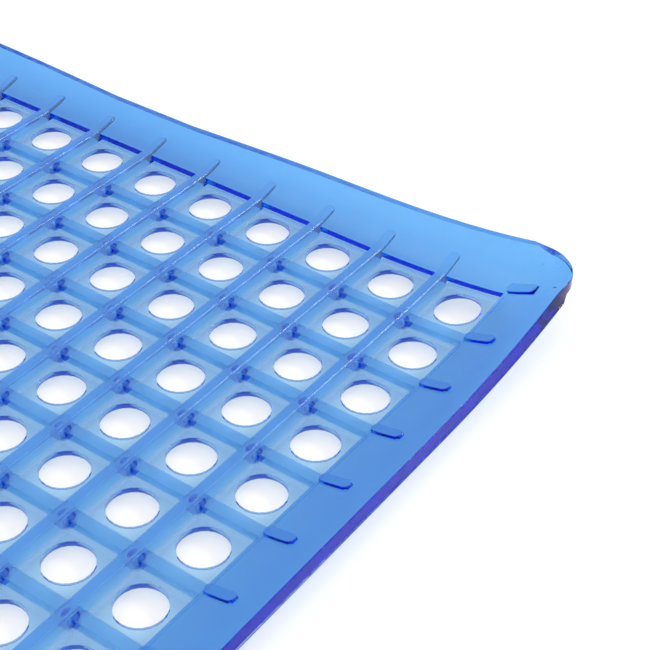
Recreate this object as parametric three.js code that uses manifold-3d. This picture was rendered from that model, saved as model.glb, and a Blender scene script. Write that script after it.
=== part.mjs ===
// A soft drain mat for a kitchen sink, in millimetres, +Z up, lying on the table at z = 0.
//
// The mat is moulded in soft translucent vinyl. A thin floor sheet has one round drain hole in
// every cell and a short foot under every rib crossing. Tall long ribs and lower cross ribs stand
// on the sheet, and a thicker border frames it. The long ribs run out over the border, and short
// grip bars stand on the border where the cross ribs point. The border's outer part turns up into
// a lip, which curls up more towards the rounded corners.
// The origin is the centre of the mat, at the table. X runs along the longer side.

import * as THREE from "three";
import { mergeVertices } from "three/addons/utils/BufferGeometryUtils.js";
import Module from "manifold-3d";

// Driving dimensions.
const PITCH = 20; // one cell, hole centre to hole centre
const COLUMNS = 13; // cells along X
const ROWS = 11; // cells along Y
const RIB_WIDTH = 3.25;
const RIB_REACH = 7.5; // how far a long rib runs out over the border
const HOLE_RADIUS = 5.9;
const HOLE_STEPS = 4; // a hole is a polygon of twice as many sides
const FOOT_RADIUS = 1.75;
const FOOT_SIDES = 8;
const FOOT_BITE = 0.5; // how far a foot reaches into the sheet that it is joined to
const BORDER_WIDTH = 15; // from the sheet's edge to the mat's edge
const CORNER_RADIUS = 12;
const CORNER_STEPS = 8;
const SIDE_STEPS = 11; // stretches of border from the middle of a side to its corner
const LIP_START = 8.75; // the border is flat this far out from the sheet's edge
const LIP_STEPS = 4;
const LIP_RISE = 3.625; // how much higher the outer edge is in the middle of a side
const CURL_HEIGHT = 0.35; // a corner's curl one cell after it starts
const CURL_START = 1.5 * PITCH; // the curl starts this far before the corner hole, x and y added
const CURL_POWER = 2.5; // how fast the curl grows towards the corner
const CURL_CELLS = 3; // the curl grows over this many cells, and the very corner is level
const FLARE_HEIGHT = 3.7; // how much more the lips of the long sides open, at their highest
const FLARE_START = 15; // a long side's lip opens from this far beside its middle
const FLARE_REACH = 130; // and closes again this far on, at the corner
const BAR_LENGTH = 8.25;
const BAR_WIDTH = 3;
const BAR_GAP = 0.25; // from the sheet's edge to a grip bar
const END_STEPS = 4; // segments in a half-round end
const WELD = 1e-4; // points nearer than this are one point

// Levels above the table. They are multiples of 1/8 mm, so that faces meet exactly.
const FLOOR_BOTTOM = 2;
const FLOOR_TOP = 3.5;
const CROSS_RIB_TOP = 4.75;
const BORDER_TOP = 5.25;
const LONG_RIB_TOP = 6;

// Worked out from the driving dimensions.
const FIELD_X = (COLUMNS * PITCH - RIB_WIDTH) / 2; // half the floor sheet
const FIELD_Y = (ROWS * PITCH - RIB_WIDTH) / 2;

const wasm = await Module();
wasm.setup();

const vinyl = new THREE.MeshStandardMaterial({
  color: 0x4f8fe0,
  roughness: 0.25,
  metalness: 0,
  transparent: true,
  opacity: 0.75,
});

// The places of count things, one pitch apart, centred on 0.
function spaced(count) {
  return Array.from({ length: count }, (_, i) => (i - (count - 1) / 2) * PITCH);
}

// A closed three.js geometry as a manifold-3d solid.
function toSolid(geometry) {
  const bare = new THREE.BufferGeometry();
  bare.setAttribute("position", geometry.getAttribute("position"));
  bare.setIndex(geometry.index);
  const merged = mergeVertices(bare, WELD);
  return new wasm.Manifold(
    new wasm.Mesh({
      numProp: 3,
      vertProperties: merged.attributes.position.array,
      triVerts: new Uint32Array(merged.index.array),
    }),
  );
}

// A manifold-3d solid as a three.js geometry with flat faces.
function toGeometry(solid) {
  const mesh = solid.getMesh();
  const indexed = new THREE.BufferGeometry();
  indexed.setAttribute("position", new THREE.BufferAttribute(mesh.vertProperties, mesh.numProp));
  indexed.setIndex(new THREE.BufferAttribute(mesh.triVerts, 1));
  const geometry = indexed.toNonIndexed();
  geometry.computeVertexNormals();
  return geometry;
}

// The thin sheet with a drain hole in every cell, and a foot under every rib crossing.
function floorSheet() {
  const outline = new THREE.Shape();
  outline.moveTo(-FIELD_X, -FIELD_Y);
  outline.lineTo(FIELD_X, -FIELD_Y);
  outline.lineTo(FIELD_X, FIELD_Y);
  outline.lineTo(-FIELD_X, FIELD_Y);
  outline.closePath();
  for (const x of spaced(COLUMNS))
    for (const y of spaced(ROWS))
      outline.holes.push(new THREE.Path().absarc(x, y, HOLE_RADIUS, 0, 2 * Math.PI, true));
  const sheet = new THREE.ExtrudeGeometry(outline, {
    depth: FLOOR_TOP - FLOOR_BOTTOM,
    bevelEnabled: false,
    curveSegments: HOLE_STEPS,
  });
  sheet.translate(0, 0, FLOOR_BOTTOM);
  const footHeight = FLOOR_BOTTOM + FOOT_BITE;
  const feet = [];
  for (const x of spaced(COLUMNS - 1))
    for (const y of spaced(ROWS - 1)) {
      const foot = new THREE.CylinderGeometry(FOOT_RADIUS, FOOT_RADIUS, footHeight, FOOT_SIDES);
      foot.rotateX(Math.PI / 2);
      foot.rotateZ(Math.PI / FOOT_SIDES);
      foot.translate(x, y, footHeight / 2);
      feet.push(toSolid(foot));
    }
  return toGeometry(wasm.Manifold.union([toSolid(sheet), ...feet]));
}

// An upright box as a solid, given its size along X and Y, its two levels and its middle.
function block(lengthX, lengthY, low, high, x, y) {
  const box = new THREE.BoxGeometry(lengthX, lengthY, high - low);
  return toSolid(box.translate(x, y, (low + high) / 2));
}

// A bar that lies along Y, from one place to another, with both of its ends half round.
function roundedBar(width, from, to, height) {
  const half = width / 2;
  const outline = new THREE.Shape();
  outline.moveTo(-half, from + half);
  outline.absarc(0, from + half, half, Math.PI, 2 * Math.PI, false);
  outline.lineTo(half, to - half);
  outline.absarc(0, to - half, half, 0, Math.PI, false);
  outline.closePath();
  return new THREE.ExtrudeGeometry(outline, {
    depth: height,
    bevelEnabled: false,
    curveSegments: END_STEPS,
  });
}

// A long rib along Y. It bridges the cross ribs, and its ends lie on the border.
function longRib() {
  const end = FIELD_Y + RIB_REACH;
  const bar = roundedBar(RIB_WIDTH, -end, end, LONG_RIB_TOP - FLOOR_TOP);
  const bridges = spaced(ROWS - 1).map((y) =>
    block(2 * RIB_WIDTH, RIB_WIDTH, 0, CROSS_RIB_TOP, 0, y),
  );
  const steps = [-1, 1].map((side) =>
    block(2 * RIB_WIDTH, 2 * RIB_REACH, 0, BORDER_TOP, 0, side * (FIELD_Y + RIB_REACH)),
  );
  const cuts = wasm.Manifold.union([...bridges, ...steps]);
  return toGeometry(toSolid(bar.translate(0, 0, FLOOR_TOP)).subtract(cuts));
}

// A cross rib along X, from one side of the border to the other.
function crossRib() {
  const height = CROSS_RIB_TOP - FLOOR_TOP;
  return new THREE.BoxGeometry(2 * FIELD_X, RIB_WIDTH, height);
}

// How much higher the outer edge is at a place than in the middle of a side. The corners curl up,
// and the lips of the long sides open more than the others.
function curl(x, y) {
  const holeX = ((COLUMNS - 1) * PITCH) / 2;
  const holeY = ((ROWS - 1) * PITCH) / 2;
  const near = Math.abs(x) - holeX + Math.abs(y) - holeY + CURL_START;
  const cells = Math.min(CURL_CELLS, Math.max(0, near) / PITCH);
  const across = Math.min(1, Math.max(0, (Math.abs(y) - FIELD_Y) / BORDER_WIDTH));
  const along = Math.min(1, Math.max(0, (Math.abs(x) - FLARE_START) / FLARE_REACH));
  return CURL_HEIGHT * cells ** CURL_POWER + FLARE_HEIGHT * across * Math.sin(Math.PI * along);
}

// Pairs of points round the border, anticlockwise: one on the sheet's edge, one on the mat's edge.
// Each rounded corner fans out from the sheet's own square corner.
function borderStations() {
  const reach = BORDER_WIDTH - CORNER_RADIUS;
  const stations = [];
  const corners = [
    [1, 1],
    [-1, 1],
    [-1, -1],
    [1, -1],
  ];
  corners.forEach(([sideX, sideY], quarter) => {
    const corner = new THREE.Vector2(sideX * FIELD_X, sideY * FIELD_Y);
    const centre = new THREE.Vector2(sideX * (FIELD_X + reach), sideY * (FIELD_Y + reach));
    const spoke = (turn) => new THREE.Vector2(Math.cos(turn), Math.sin(turn));
    const [arriving, leaving] = [spoke((quarter * Math.PI) / 2), spoke(((quarter + 1) * Math.PI) / 2)];
    const beside = (along, share, out) => {
      const half = Math.abs(along.dot(corner));
      const inner = corner.clone().addScaledVector(along, -share * half);
      stations.push({ inner, outer: inner.clone().addScaledVector(out, BORDER_WIDTH) });
    };
    for (let i = SIDE_STEPS; i >= 0; i--) beside(leaving, i / SIDE_STEPS, arriving);
    for (let step = 0; step <= CORNER_STEPS; step++) {
      const turn = ((quarter + step / CORNER_STEPS) * Math.PI) / 2;
      stations.push({ inner: corner, outer: centre.clone().addScaledVector(spoke(turn), CORNER_RADIUS) });
    }
    for (let i = 0; i < SIDE_STEPS; i++) beside(arriving, i / SIDE_STEPS, leaving);
  });
  return stations;
}

// The thick frame round the sheet. Its section runs back along the top and out underneath.
function borderRim() {
  const flat = LIP_START / BORDER_WIDTH;
  const lip = Array.from({ length: LIP_STEPS + 1 }, (_, i) => i / LIP_STEPS);
  const run = [{ share: 0, turn: 0 }, ...lip.map((t) => ({ share: flat + (1 - flat) * t, turn: t * t }))];
  const section = [
    ...run.map((spot) => ({ ...spot, level: BORDER_TOP })),
    ...run.toReversed().map((spot) => ({ ...spot, level: FLOOR_BOTTOM })),
  ];
  const rings = borderStations().map(({ inner, outer }) =>
    section.map(({ share, turn, level }) => {
      const spot = inner.clone().lerp(outer, share);
      return [spot.x, spot.y, level + turn * (LIP_RISE + curl(outer.x, outer.y))];
    }),
  );
  const size = section.length;
  const faces = [];
  rings.forEach((_, i) => {
    const next = (i + 1) % rings.length;
    for (let j = 0; j < size; j++) {
      const k = (j + 1) % size;
      const [a, b, c, d] = [i * size + j, i * size + k, next * size + k, next * size + j];
      faces.push([a, b, c], [a, c, d]);
    }
  });
  const loose = new THREE.BufferGeometry();
  loose.setAttribute("position", new THREE.BufferAttribute(new Float32Array(rings.flat(2)), 3));
  loose.setIndex(faces.flat());
  const merged = mergeVertices(loose, WELD);
  const index = Array.from(merged.index.array);
  const whole = [];
  for (let i = 0; i < index.length; i += 3) {
    const [a, b, c] = index.slice(i, i + 3);
    if (a !== b && b !== c && c !== a) whole.push(a, b, c); // the corner fans leave empty faces
  }
  merged.setIndex(whole);
  return toGeometry(toSolid(merged));
}

const mat = new THREE.Group();
mat.name = "sink_mat";

// Adds one named piece of the mat.
function add(name, geometry, x, y, z) {
  const mesh = new THREE.Mesh(geometry, vinyl.clone());
  mesh.name = name;
  mesh.position.set(x, y, z);
  mat.add(mesh);
  return mesh;
}

// A two-digit number for a repeated piece, from 01.
function numbered(index) {
  return String(index + 1).padStart(2, "0");
}

add("floor_sheet", floorSheet(), 0, 0, 0);
add("border_rim", borderRim(), 0, 0, 0);
spaced(COLUMNS - 1).forEach((x, i) => add(`long_rib_${numbered(i)}`, longRib(), x, 0, 0));
spaced(ROWS - 1).forEach((y, i) => {
  add(`cross_rib_${numbered(i)}`, crossRib(), 0, y, (FLOOR_TOP + CROSS_RIB_TOP) / 2);
});
for (const [side, direction] of [
  ["left", -1],
  ["right", 1],
]) {
  spaced(ROWS + 1).forEach((y, i) => {
    const bar = roundedBar(BAR_WIDTH, -BAR_LENGTH / 2, BAR_LENGTH / 2, LONG_RIB_TOP - BORDER_TOP);
    const x = direction * (FIELD_X + BAR_GAP + BAR_LENGTH / 2);
    add(`grip_bar_${side}_${numbered(i)}`, bar, x, y, BORDER_TOP).rotation.z = Math.PI / 2;
  });
}

export default mat;
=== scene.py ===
"""A soft, see-through blue drain mat for a sink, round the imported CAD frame. Everything is in metres."""

import math

import bmesh
import bpy
from mathutils import Euler, Matrix, Vector


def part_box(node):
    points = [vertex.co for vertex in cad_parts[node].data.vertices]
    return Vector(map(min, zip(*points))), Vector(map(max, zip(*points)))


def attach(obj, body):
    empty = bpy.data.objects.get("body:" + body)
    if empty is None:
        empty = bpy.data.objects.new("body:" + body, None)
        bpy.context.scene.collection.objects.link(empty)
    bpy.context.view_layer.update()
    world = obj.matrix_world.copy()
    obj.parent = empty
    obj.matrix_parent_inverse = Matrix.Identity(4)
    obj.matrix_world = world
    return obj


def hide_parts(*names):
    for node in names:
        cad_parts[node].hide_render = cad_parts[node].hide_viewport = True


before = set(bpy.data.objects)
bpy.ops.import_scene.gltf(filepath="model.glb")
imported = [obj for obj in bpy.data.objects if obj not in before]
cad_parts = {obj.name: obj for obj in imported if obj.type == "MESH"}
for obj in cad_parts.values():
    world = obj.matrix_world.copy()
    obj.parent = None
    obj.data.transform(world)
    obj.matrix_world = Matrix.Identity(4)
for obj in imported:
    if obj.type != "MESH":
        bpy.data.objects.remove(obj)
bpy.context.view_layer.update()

MM = 0.001

# What the frame says.
nodes = sorted(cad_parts)
long_ribs = [n for n in nodes if n.startswith("long_rib_")]
cross_ribs = [n for n in nodes if n.startswith("cross_rib_")]
grip_bars = [n for n in nodes if n.startswith("grip_bar_")]


def middle(node):
    low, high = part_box(node)
    return [(a + b) / 2 for a, b in zip(low, high)]


rib_xs = sorted(middle(n)[0] for n in long_ribs)
rib_ys = sorted(middle(n)[1] for n in cross_ribs)
bar_ys = sorted({round(middle(n)[1], 6) for n in grip_bars})
pitch = rib_xs[1] - rib_xs[0]
columns = len(rib_xs) + 1
rows = len(rib_ys) + 1
hole_xs = [rib_xs[0] - pitch / 2 + i * pitch for i in range(columns)]
hole_ys = [rib_ys[0] - pitch / 2 + i * pitch for i in range(rows)]
field_x, field_y, floor_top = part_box("floor_sheet")[1]
edge_x, edge_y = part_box("border_rim")[1][:2]
floor_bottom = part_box("border_rim")[0][2]
cross_rib_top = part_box(cross_ribs[0])[1][2]
long_rib_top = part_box(long_ribs[0])[1][2]
long_rib_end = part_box(long_ribs[0])[1][1]
rib_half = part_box(cross_ribs[0])[1][1] - middle(cross_ribs[0])[1]
right_bar = max(grip_bars, key=lambda n: middle(n)[0])
bar_start, bar_end = (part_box(right_bar)[side][0] for side in (0, 1))
bar_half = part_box(right_bar)[1][1] - middle(right_bar)[1]
border_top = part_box(right_bar)[0][2]
border_width = edge_x - field_x

# The soft mat as it lies: its border slopes up to a lip, and its corners curl up.
LIP_RISE = 3.7 * MM
LIP_POWER = 1.25
CURL_HEIGHT = 0.35 * MM  # a corner's curl one cell after it starts
CURL_START = 1.5 * pitch  # the curl starts this far before the corner hole, x and y added
CURL_POWER = 2.5
CURL_CELLS = 3.1  # the curl grows over this many cells, and the very corner is level
FLARE_HEIGHT = 2.2 * MM  # how much more the lips of the long sides open, at their highest
FLARE_START = 0.75 * pitch  # a long side's lip opens from this far beside its middle
FLARE_REACH = 6.5 * pitch  # and closes again this far on, at the corner
FLARE_POWER = 3
SLOPE_STEP = 0.05 * MM  # the slope of the mat is measured over this distance

SUNK = 0.05 * MM  # how far one piece of the moulding reaches into the next
HOLD = 0.12 * MM  # a flat face keeps its own direction up to this far from a rounded edge


def clamp(value):
    return min(1.0, max(0.0, value))


def lift(x, y):
    """How far the mat's surface is raised at a place."""
    out_x = max(0.0, abs(x) - field_x) / border_width
    out_y = max(0.0, abs(y) - field_y) / border_width
    lip = LIP_RISE * clamp(math.hypot(out_x, out_y)) ** LIP_POWER
    beyond = abs(x) - hole_xs[-1] + abs(y) - hole_ys[-1] + CURL_START
    curl = CURL_HEIGHT * min(CURL_CELLS, max(0.0, beyond) / pitch) ** CURL_POWER
    along = clamp((abs(x) - FLARE_START) / FLARE_REACH)
    flare = FLARE_HEIGHT * clamp(out_y) ** FLARE_POWER * math.sin(math.pi * along)
    return lip + curl + flare


def bend(x, y, z):
    """Moves a point of the flat mat to the raised one, square to its surface."""
    slope_x = (lift(x + SLOPE_STEP, y) - lift(x - SLOPE_STEP, y)) / (2 * SLOPE_STEP)
    slope_y = (lift(x, y + SLOPE_STEP) - lift(x, y - SLOPE_STEP)) / (2 * SLOPE_STEP)
    above = (z - border_top) / math.sqrt(1 + slope_x**2 + slope_y**2)
    return x - slope_x * above, y - slope_y * above, border_top + lift(x, y) + above


def steps(low, high, count):
    return [low + (high - low) * i / count for i in range(count + 1)]


def near(value, places, reach):
    return min(abs(value - place) for place in places) < reach


def in_bar(x, y, start, end, half):
    """True within a bar along X with half-round ends, from start to end."""
    along = min(max(x, start + half), end - half)
    return math.hypot(x - along, y) < half


def open_below(x, y):
    """True where a rib's end or a grip bar stands on the border."""
    for rib in rib_xs:
        if abs(x - rib) < rib_half:
            return in_bar(abs(y), x - rib, 0, long_rib_end, rib_half)
    for bar in bar_ys:
        if abs(y - bar) < bar_half:
            return in_bar(abs(x), y - bar, bar_start, bar_end, bar_half)
    return False


# ---------------------------------------------------------------- mesh helpers


UNDERSIDE = -0.7  # faces whose normals point down more than this are the matt underside


class Shell:
    """Collects quads, joins their shared corners, and lays them on the curled mat."""

    def __init__(self, matt_below=False, bloom=(0.0, 0.0)):
        """bloom is the share of light that the faces scatter: on level faces, and on upright ones."""
        self.matt_below = matt_below
        self.bloom = bloom
        self.points = []
        self.faces = []
        self.joined = []
        self.places = {}

    def point(self, x, y, z):
        key = (round(x, 7), round(y, 7), round(z, 7))
        if key not in self.places:
            self.places[key] = len(self.points)
            self.points.append((x, y, z))
        return self.places[key]

    def face(self, *corners, joined=False):
        face = []
        for corner in corners:
            index = self.point(*corner)
            if index not in face:
                face.append(index)
        if len(face) > 2:
            self.faces.append(face)
            self.joined.append(float(joined))

    def grid(self, lines, closed=False, joined=False):
        """Quads between neighbouring lines of points, which all have the same number of points.

        joined is True for faces that lie inside a neighbour, or a function of a face's middle.
        """
        for low, high in zip(lines, lines[1:]):
            count = len(low)
            for i in range(count if closed else count - 1):
                k = (i + 1) % count
                quad = (low[i], low[k], high[k], high[i])
                inside = joined
                if callable(joined):
                    inside = joined(*(sum(q[axis] for q in quad) / 4 for axis in range(3)))
                self.face(*quad, joined=inside)

    def cap(self, ring, joined=False):
        """A flat fan from the middle of a ring."""
        centre = [sum(p[axis] for p in ring) / len(ring) for axis in range(3)]
        for a, b in zip(ring, ring[1:] + ring[:1]):
            self.face(a, b, centre, joined=joined)

    def build(self, name):
        mesh = bpy.data.meshes.new(name)
        placed = [bend(*point) for point in self.points]
        mesh.from_pydata(placed, [], self.faces)
        mesh.attributes.new("joined", "FLOAT", "FACE").data.foreach_set("value", self.joined)
        work = bmesh.new()
        work.from_mesh(mesh)
        bmesh.ops.recalc_face_normals(work, faces=work.faces)
        under = [float(self.matt_below and face.normal.z < UNDERSIDE) for face in work.faces]
        bloom = [self.bloom[abs(face.normal.z) < -UNDERSIDE] for face in work.faces]
        work.to_mesh(mesh)
        work.free()
        mesh.attributes.new("under", "FLOAT", "FACE").data.foreach_set("value", under)
        mesh.attributes.new("bloom", "FLOAT", "FACE").data.foreach_set("value", bloom)
        mesh.shade_smooth()
        mesh.set_sharp_from_angle(angle=math.radians(50))
        mesh.materials.append(vinyl)
        piece = bpy.data.objects.new(name, mesh)
        bpy.context.collection.objects.link(piece)
        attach(piece, "root")
        return piece


def rounding(edge, count=4):
    """(in, down) pairs over a rounded edge from an upright face to a level one, with both held."""
    turns = steps(0, math.pi / 2, count)
    arc = [(edge * (1 - math.cos(t)), edge * (1 - math.sin(t))) for t in turns]
    return [(0.0, edge + HOLD)] + arc + [(edge + HOLD, 0.0)]


# ---------------------------------------------------------------- material


ABSORB_COLOUR = (0.0, 0.61, 0.968, 1.0)
ABSORB_DENSITY = 530.0  # per metre
CLOUD_SCALE = 160.0  # soft unevenness of the moulded faces, per metre
GRAIN_SCALE = 1400.0  # fine grain, per metre
CLEAR_TINT = (1.0, 0.95, 0.93, 1.0)
DULL_TINT = (0.96, 0.92, 0.90, 1.0)
UNDER_ROUGHNESS = 0.25  # how much rougher the underside is
HAZE_TINT = (0.52, 0.95, 1.0, 1.0)
SMOOTHEST = (0.07, 0.07, 0.07, 1.0)
ROUGHEST = (0.15, 0.15, 0.15, 1.0)
WAVE_HEIGHT = 0.12 * MM
GRAIN_HEIGHT = 0.008 * MM


def make_vinyl():
    """Clear blue vinyl, whose colour deepens with the distance that light goes through it.

    Where two pieces of the moulding meet there is no skin, and light goes straight on.
    """
    material = bpy.data.materials.new("blue vinyl")
    material.use_nodes = True
    tree = material.node_tree
    output = tree.nodes["Material Output"]
    skin = tree.nodes["Principled BSDF"]
    skin.inputs["Transmission Weight"].default_value = 1.0
    skin.inputs["IOR"].default_value = 1.4
    place = tree.nodes.new("ShaderNodeTexCoord")

    def noise(scale, detail):
        node = tree.nodes.new("ShaderNodeTexNoise")
        node.inputs["Scale"].default_value = scale
        node.inputs["Detail"].default_value = detail
        tree.links.new(place.outputs["Object"], node.inputs["Vector"])
        return node

    clouds = noise(CLOUD_SCALE, 3)
    grain = noise(GRAIN_SCALE, 4)
    under = tree.nodes.new("ShaderNodeAttribute")
    under.attribute_name = "under"
    for name, source, low, high in (
        ("Base Color", clouds, DULL_TINT, CLEAR_TINT),
        ("Roughness", grain, SMOOTHEST, ROUGHEST),
    ):
        ramp = tree.nodes.new("ShaderNodeValToRGB")
        ramp.color_ramp.elements[0].position = 0.35
        ramp.color_ramp.elements[0].color = low
        ramp.color_ramp.elements[1].position = 0.65
        ramp.color_ramp.elements[1].color = high
        tree.links.new(source.outputs["Fac"], ramp.inputs["Fac"])
        if name == "Roughness":
            matt = tree.nodes.new("ShaderNodeMath")
            matt.operation = "MULTIPLY_ADD"
            matt.inputs[1].default_value = UNDER_ROUGHNESS
            tree.links.new(under.outputs["Fac"], matt.inputs[0])
            tree.links.new(ramp.outputs["Color"], matt.inputs[2])
            tree.links.new(matt.outputs["Value"], skin.inputs[name])
        else:
            tree.links.new(ramp.outputs["Color"], skin.inputs[name])
    waves = tree.nodes.new("ShaderNodeBump")
    waves.inputs["Strength"].default_value = 1.0
    waves.inputs["Distance"].default_value = WAVE_HEIGHT
    tree.links.new(clouds.outputs["Fac"], waves.inputs["Height"])
    pores = tree.nodes.new("ShaderNodeBump")
    pores.inputs["Strength"].default_value = 1.0
    pores.inputs["Distance"].default_value = GRAIN_HEIGHT
    tree.links.new(grain.outputs["Fac"], pores.inputs["Height"])
    tree.links.new(waves.outputs["Normal"], pores.inputs["Normal"])
    tree.links.new(pores.outputs["Normal"], skin.inputs["Normal"])
    joined = tree.nodes.new("ShaderNodeAttribute")
    joined.attribute_name = "joined"
    open_way = tree.nodes.new("ShaderNodeBsdfTransparent")
    either = tree.nodes.new("ShaderNodeMixShader")
    tree.links.new(joined.outputs["Fac"], either.inputs["Fac"])
    bloom = tree.nodes.new("ShaderNodeAttribute")
    bloom.attribute_name = "bloom"
    haze = tree.nodes.new("ShaderNodeBsdfDiffuse")
    haze.inputs["Color"].default_value = HAZE_TINT
    hazy = tree.nodes.new("ShaderNodeMixShader")
    tree.links.new(bloom.outputs["Fac"], hazy.inputs["Fac"])
    tree.links.new(skin.outputs["BSDF"], hazy.inputs[1])
    tree.links.new(haze.outputs["BSDF"], hazy.inputs[2])
    tree.links.new(hazy.outputs["Shader"], either.inputs[1])
    tree.links.new(open_way.outputs["BSDF"], either.inputs[2])
    tree.links.new(either.outputs["Shader"], output.inputs["Surface"])
    absorb = tree.nodes.new("ShaderNodeVolumeAbsorption")
    absorb.inputs["Color"].default_value = ABSORB_COLOUR
    absorb.inputs["Density"].default_value = ABSORB_DENSITY
    tree.links.new(absorb.outputs["Volume"], output.inputs["Volume"])
    return material


vinyl = make_vinyl()

# ---------------------------------------------------------------- floor sheet

RIB_SPREAD = 0.8 * MM  # a rib's flanks stand out this far at its foot
rib_foot = rib_half + RIB_SPREAD
OPEN_SHARE = 0.7  # the share of light that goes straight through the sheet's matt underside at a rib
HOLE_RADIUS = 0.295 * pitch
HOLE_SIDES = 24
HOLE_EDGE = 0.2 * MM  # rounding of a hole's rims
BLOCK = 0.16 * pitch  # half the square round each rib crossing
FOOT_RADIUS = 1.75 * MM
FOOT_EDGE = 0.35 * MM


def intervals(holes, field):
    """The stretches along one axis: (kind, places), with the edges, the cells and the gaps."""
    inner = pitch / 2 - BLOCK
    found = [("edge", [-field - SUNK, -field, holes[0] - inner])]
    for hole, after in zip(holes, holes[1:] + [None]):
        found.append(("cell", steps(hole - inner, hole + inner, HOLE_SIDES // 4)))
        if after is not None:
            rib = (hole + after) / 2
            offsets = (-BLOCK, -rib_foot, -rib_half, 0, rib_half, rib_foot, BLOCK)
            found.append(("gap", [rib + offset for offset in offsets]))
    found.append(("edge", [holes[-1] + inner, field, field + SUNK]))
    return found


def square_ring(xs, ys, z):
    """The points round a rectangle, anticlockwise from its lower left corner."""
    ring = [(x, ys[0], z) for x in xs[:-1]]
    ring += [(xs[-1], y, z) for y in ys[:-1]]
    ring += [(x, ys[-1], z) for x in xs[:0:-1]]
    ring += [(xs[0], y, z) for y in ys[:0:-1]]
    return ring


def round_ring(square, radius, z):
    """The same number of points on a circle round the middle of a square ring."""
    count = len(square)
    cx = (square[0][0] + square[count // 2][0]) / 2
    cy = (square[0][1] + square[count // 2][1]) / 2
    turns = [1.25 * math.pi + math.tau * i / count for i in range(count)]
    return [(cx + radius * math.cos(t), cy + radius * math.sin(t), z) for t in turns]


def under_rib(x, y, z):
    """True where a rib or the border stands on the sheet."""
    beside = near(x, rib_xs, rib_foot) or near(y, rib_ys, rib_foot)
    return beside or abs(x) > field_x or abs(y) > field_y


def drain_cell(shell, xs, ys):
    """The square round one drain hole, down through the hole and back out underneath."""
    top = square_ring(xs, ys, floor_top)
    edge = rounding(HOLE_EDGE, 2)
    rings = [top]
    rings += [round_ring(top, HOLE_RADIUS + i, floor_top - down) for i, down in reversed(edge)]
    rings += [round_ring(top, HOLE_RADIUS + i, floor_bottom + up) for i, up in edge]
    rings.append(square_ring(xs, ys, floor_bottom))
    shell.grid(rings, closed=True)


def foot(shell, xs, ys):
    """The underside round one rib crossing, with its foot."""
    square = square_ring(xs, ys, floor_bottom)
    edge = rounding(FOOT_EDGE, 2)
    rings = [square]
    rings += [round_ring(square, FOOT_RADIUS + i, floor_bottom - down) for i, down in reversed(edge)]
    rings += [round_ring(square, FOOT_RADIUS - i, up) for i, up in edge]
    shell.grid(rings, closed=True)
    shell.cap(rings[-1])


def floor_sheet():
    shell = Shell(matt_below=True)
    xs_list = intervals(hole_xs, field_x)
    ys_list = intervals(hole_ys, field_y)
    for kind_x, xs in xs_list:
        for kind_y, ys in ys_list:
            if kind_x == kind_y == "cell":
                drain_cell(shell, xs, ys)
                continue
            shell.grid([[(x, y, floor_top) for x in xs] for y in ys], joined=under_rib)
            if kind_x == kind_y == "gap":
                foot(shell, xs, ys)
            else:
                shell.grid([[(x, y, floor_bottom) for x in xs] for y in ys], joined=OPEN_SHARE)
    all_xs = [x for _, xs in xs_list for x in xs[:-1]] + [xs_list[-1][1][-1]]
    all_ys = [y for _, ys in ys_list for y in ys[:-1]] + [ys_list[-1][1][-1]]
    outline = square_ring(all_xs, all_ys, floor_top)
    underneath = [(x, y, floor_bottom) for x, y, _ in outline]
    shell.grid([outline, underneath], closed=True, joined=True)
    piece = shell.build("drain_floor")
    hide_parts("floor_sheet")


# ---------------------------------------------------------------- ribs and bars

RIB_EDGE = 0.7 * MM
CROSS_EDGE = 0.4 * MM
RIB_DRAFT = 0.15 * MM  # a long rib is this much narrower on each side at the top
BAR_EDGE = 0.25 * MM
TIP_STEPS = 6
LONG_BLOOM = (0.05, 0.18)
CROSS_BLOOM = (0.0, 0.1)


def bar_stations(line, half):
    """(middle, right, left) round a bar along a line of points, with half-round ends.

    right and left are the ways from the middle line to the bar's two sides, half long.
    """
    along = (line[-1] - line[0]).normalized() * half
    right = Vector((along.y, -along.x))
    quarter = steps(0, math.pi / 2, TIP_STEPS)
    start = [(line[0], math.cos(t) * -along, math.sin(t) * right) for t in quarter]
    end = [(line[-1], math.cos(t) * along, math.sin(t) * right) for t in reversed(quarter)]
    tips = [(spot, out + across, out - across) for spot, out, across in start]
    sides = [(spot, right, -right) for spot in line[1:-1]]
    ends = [(spot, out + across, out - across) for spot, out, across in end]
    return tips + sides + ends


def bar_ring(stations, shrink, level):
    """One level line round a bar, shrunk to a share of its width; level is a function of the place."""
    if not callable(shrink):
        share = shrink

        def shrink(_):
            return share

    rights = [spot + right * shrink(spot.y) for spot, right, _ in stations]
    lefts = [spot + left * shrink(spot.y) for spot, _, left in stations]
    return [(p.x, p.y, level(p.y)) for p in rights + lefts[::-1]]


def bar_shell(line, half, base, wall, top, edge, draft, joined, foot=1, bloom=(0.0, 0.0)):
    """A bar's rings from its foot over the rounded edge to the top, with both of its caps."""
    shell = Shell(bloom=bloom)
    stations = bar_stations(line, half)
    rings = [bar_ring(stations, foot, lambda y: base(y) - SUNK), bar_ring(stations, foot, base)]
    rings.append(bar_ring(stations, 1, lambda y: max(base(y) + SUNK, wall)))
    for inset, down in rounding(edge):
        rings.append(bar_ring(stations, 1 - (draft + inset) / half, lambda y: top - down))
    shell.grid(rings[:2], closed=True, joined=True)
    shell.grid(rings[1:3], closed=True, joined=joined)
    shell.grid(rings[2:], closed=True)
    count = len(stations)
    for ring in (rings[0], rings[-1]):
        shell.grid([ring[:count], ring[:count - 1:-1]], joined=ring is rings[0])
    return shell


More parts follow.
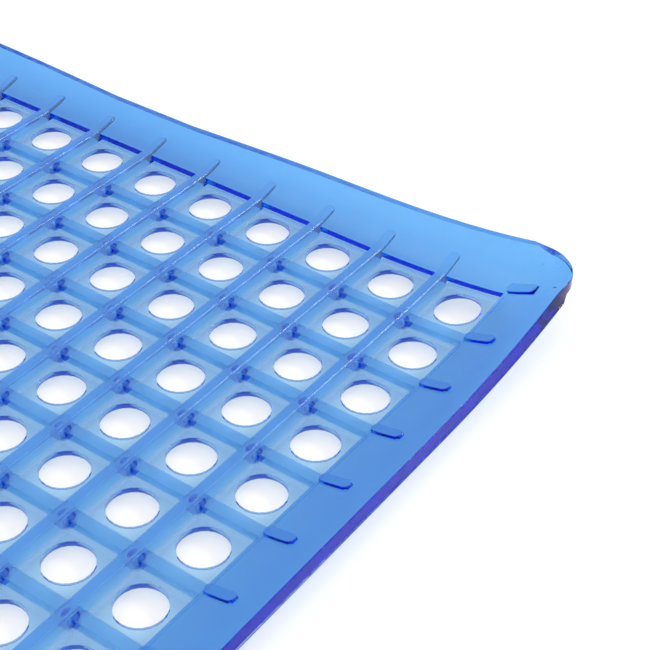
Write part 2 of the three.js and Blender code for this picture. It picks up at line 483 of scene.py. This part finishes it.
def long_rib(node):
    x0 = middle(node)[0]
    body = long_rib_end - rib_half
    stops = [-body, -field_y - SUNK, -field_y + SUNK]
    stops += [rib + side * rib_half for rib in rib_ys for side in (-1, 1)]
    stops += [field_y - SUNK, field_y + SUNK, body]
    ys = [stops[0]]
    for a, b in zip(stops, stops[1:]):
        ys += steps(a, b, math.ceil((b - a) / (3 * MM)))[1:]

    def base(y):
        return floor_top if abs(y) < field_y else border_top

    def foot_share(y):
        inside = clamp((field_y - SUNK - abs(y)) / (3 * MM))
        return 1 + inside * RIB_SPREAD / rib_half

    def cross_rib_joins(x, y, z):
        return near(y, rib_ys, rib_half)

    line = [Vector((x0, y)) for y in ys]
    heights = (cross_rib_top, long_rib_top)
    skin = (RIB_EDGE, RIB_DRAFT, cross_rib_joins, foot_share, LONG_BLOOM)
    shell = bar_shell(line, rib_half, base, *heights, *skin)
    piece = shell.build(f"visual_{node}")
    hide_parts(node)


def cross_rib(node):
    """The stretches of one cross rib between the flanks of the long ribs."""
    y0 = middle(node)[1]
    shell = Shell(bloom=CROSS_BLOOM)
    side = [(rib_foot, floor_top - SUNK), (rib_foot, floor_top)]
    side += [(rib_half - inset, cross_rib_top - down) for inset, down in rounding(CROSS_EDGE)]
    section = side + [(0.0, cross_rib_top)] + [(-offset, level) for offset, level in reversed(side)]
    reach = rib_half - SUNK
    starts = [-field_x - SUNK] + [x + reach for x in rib_xs]
    ends = [x - reach for x in rib_xs] + [field_x + SUNK]
    for start, end in zip(starts, ends):
        xs = steps(start, end, math.ceil((end - start) / (3 * MM)))
        lines = [[(x, y0 + offset, level) for offset, level in section] for x in xs]
        shell.grid(lines, joined=lambda x, y, z: z < floor_top)
        shell.grid([[line[-1], line[0]] for line in lines], joined=True)
        shell.cap(lines[0], joined=True)
        shell.cap(lines[-1], joined=True)
    piece = shell.build(f"visual_{node}")
    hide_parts(node)


def grip_bar(node):
    (x0, y0, z0), (x1, y1, z1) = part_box(node)
    half = (y1 - y0) / 2
    line = [Vector((x, (y0 + y1) / 2)) for x in steps(x0 + half, x1 - half, 4)]
    shell = bar_shell(line, half, lambda y: z0, z0, z1, BAR_EDGE, 0, False)
    piece = shell.build(f"visual_{node}")
    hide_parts(node)


# ---------------------------------------------------------------- border

CORNER_RADIUS = 0.5 * pitch
CORNER_STEPS = 32
SIDE_STEP = 4 * MM
BAR_STEP = 0.45 * MM  # the border's faces are this fine where bars stand on it
LIP_STEPS = 8
LIP_THICK = 0.2 * MM  # how much thicker the border is at its outer edge
RIM_EDGE = 0.3 * MM


def side_places(stands, end):
    """The places of the border's stations along one side, finer where a rib or a bar stands."""
    offsets = [-rib_half] + steps(-bar_half, bar_half, 6) + [rib_half]
    places = [-end] + [stand + offset for stand in stands for offset in offsets] + [end]
    found = []
    for a, b in zip(places, places[1:]):
        found += steps(a, b, math.ceil((b - a) / SIDE_STEP))[:-1]
    return found[1:]


def border_stations():
    """(inner, outer) points in plan, anticlockwise from the right end of the far right corner."""
    found = []
    reach = border_width - CORNER_RADIUS
    places_x = side_places(rib_xs, field_x)
    places_y = side_places(rib_ys, field_y)
    sides = [places_x[::-1], places_y[::-1], places_x, places_y]
    for turn, (sx, sy) in enumerate([(1, 1), (-1, 1), (-1, -1), (1, -1)]):
        first = Vector((math.cos(math.pi / 2 * turn), math.sin(math.pi / 2 * turn)))
        last = Vector((-first.y, first.x))
        inner = Vector((sx * field_x, sy * field_y))
        centre = inner + reach * (first + last)
        found.append((inner, inner + border_width * first))
        for angle in steps(math.pi / 2 * turn, math.pi / 2 * (turn + 1), CORNER_STEPS):
            spoke = Vector((math.cos(angle), math.sin(angle)))
            found.append((inner, centre + CORNER_RADIUS * spoke))
        found.append((inner, inner + border_width * last))
        for place in sides[turn]:
            inner = Vector((place, sy * field_y)) if turn % 2 == 0 else Vector((sx * field_x, place))
            found.append((inner, inner + border_width * last))
    return found


def border_section():
    """(share of the way out, level) over the top of the border, and out underneath."""
    edge = [(inset / border_width, down) for inset, down in rounding(RIM_EDGE)]
    last_flat = 1 - edge[-1][0]
    fine_end = (long_rib_end - field_y) / border_width
    fine = steps(edge[-1][0], fine_end, round(fine_end * border_width / BAR_STEP))
    lip = steps(fine_end, last_flat, LIP_STEPS)[1:]
    top = [(0.0, floor_top), (0.0, cross_rib_top)]
    top += [(share, border_top - down) for share, down in edge[:-1]]
    top += [(share, border_top) for share in fine + lip]
    top += [(1 - share, border_top - down) for share, down in edge[-2::-1]]
    bottom = [(share, floor_bottom - LIP_THICK * share) for share in [0.0] + lip]
    bottom += [(1 - share, floor_bottom - LIP_THICK + up) for share, up in edge[-2::-1]]
    return top, bottom


def border_rim():
    shell = Shell()

    def line(inner, outer, section):
        spots = [(inner.lerp(outer, share), level) for share, level in section]
        return [(spot.x, spot.y, level) for spot, level in spots]

    def joined(x, y, z):
        at_wall = abs(x) <= field_x + SUNK and abs(y) <= field_y + SUNK
        if not at_wall:
            return open_below(x, y)
        return near(x, rib_xs, rib_half) or (near(y, rib_ys, rib_half) and z < cross_rib_top)

    stations = border_stations()
    stations.append(stations[0])
    top, bottom = border_section()
    tops = [line(*station, top) for station in stations]
    bottoms = [line(*station, bottom) for station in stations]
    shell.grid(tops, joined=joined)
    shell.grid(bottoms)
    shell.grid([[over[-1], under[-1]] for over, under in zip(tops, bottoms)])
    shell.grid([[over[0], under[0]] for over, under in zip(tops, bottoms)], joined=True)
    piece = shell.build("visual_border_rim")
    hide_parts("border_rim")


# ---------------------------------------------------------------- scene


def camera():
    """Low over the front right, looking at the far right corner of the mat."""
    data = bpy.data.cameras.new("camera")
    data.lens = 85.66
    data.sensor_width = 36.0
    data.clip_start = 0.01
    cam = bpy.data.objects.new("camera", data)
    place = Vector((hole_xs[-1] + 7.633 * pitch, hole_ys[-1] - 13.459 * pitch, 12.145 * pitch))
    look = Euler((math.radians(90 - 38.40), 0, math.radians(35.69))).to_matrix().to_4x4()
    roll = Matrix.Rotation(math.radians(0.39), 4, "Z")
    cam.matrix_world = Matrix.Translation(place) @ look @ roll
    bpy.context.collection.objects.link(cam)
    bpy.context.scene.camera = cam


def table():
    """A plain white table, lit a little from inside, a hair below the feet."""
    size = 3.0
    corners = [(-size, -size), (size, -size), (size, size), (-size, size)]
    mesh = bpy.data.meshes.new("table")
    mesh.from_pydata([(x, y, -0.02 * MM) for x, y in corners], [], [(0, 1, 2, 3)])
    obj = bpy.data.objects.new("table", mesh)
    bpy.context.collection.objects.link(obj)
    material = bpy.data.materials.new("table")
    material.use_nodes = True
    shader = material.node_tree.nodes["Principled BSDF"]
    shader.inputs["Base Color"].default_value = (0.5, 0.5, 0.5, 1)
    shader.inputs["Roughness"].default_value = 0.6
    shader.inputs["Emission Color"].default_value = (1, 1, 1, 1)
    shader.inputs["Emission Strength"].default_value = 0.47
    mesh.materials.append(material)


def sky():
    """A white studio: bright overhead and a little darker towards the horizon."""
    world = bpy.data.worlds.new("studio")
    world.use_nodes = True
    tree = world.node_tree
    place = tree.nodes.new("ShaderNodeTexCoord")
    split = tree.nodes.new("ShaderNodeSeparateXYZ")
    ramp = tree.nodes.new("ShaderNodeValToRGB")
    tree.links.new(place.outputs["Generated"], split.inputs[0])
    tree.links.new(split.outputs["Z"], ramp.inputs["Fac"])
    ramp.color_ramp.elements[0].position = 0.66
    ramp.color_ramp.elements[0].color = (0.45, 0.45, 0.45, 1)
    ramp.color_ramp.elements[1].position = 0.9
    ramp.color_ramp.elements[1].color = (0.8, 0.8, 0.8, 1)
    back = tree.nodes["Background"]
    tree.links.new(ramp.outputs["Color"], back.inputs["Color"])
    back.inputs["Strength"].default_value = 1.8
    bpy.context.scene.world = world


def softbox(name, direction, distance, size, power):
    """A square lamp that looks at the mat's far right corner."""
    data = bpy.data.lights.new(name, "AREA")
    data.shape = "RECTANGLE"
    data.size, data.size_y = size
    data.energy = power
    lamp = bpy.data.objects.new(name, data)
    target = Vector((field_x - 2 * pitch, field_y - 2 * pitch, 0))
    lamp.location = target + Vector(direction).normalized() * distance
    lamp.rotation_euler = (target - lamp.location).to_track_quat("-Z", "Y").to_euler()
    bpy.context.collection.objects.link(lamp)


def quality():
    """Enough bounces for light to leave the thick vinyl, and plain colours."""
    scene = bpy.context.scene
    scene.view_settings.view_transform = "Standard"
    scene.cycles.max_bounces = 48
    scene.cycles.transmission_bounces = 48
    scene.cycles.glossy_bounces = 24
    scene.cycles.transparent_max_bounces = 32


camera()
table()
sky()
softbox("back right", (0.45, 0.66, 0.6), 1.2, (0.5, 0.25), 6)
quality()
floor_sheet()
for name in long_ribs:
    long_rib(name)
for name in cross_ribs:
    cross_rib(name)
border_rim()
for name in grip_bars:
    grip_bar(name)
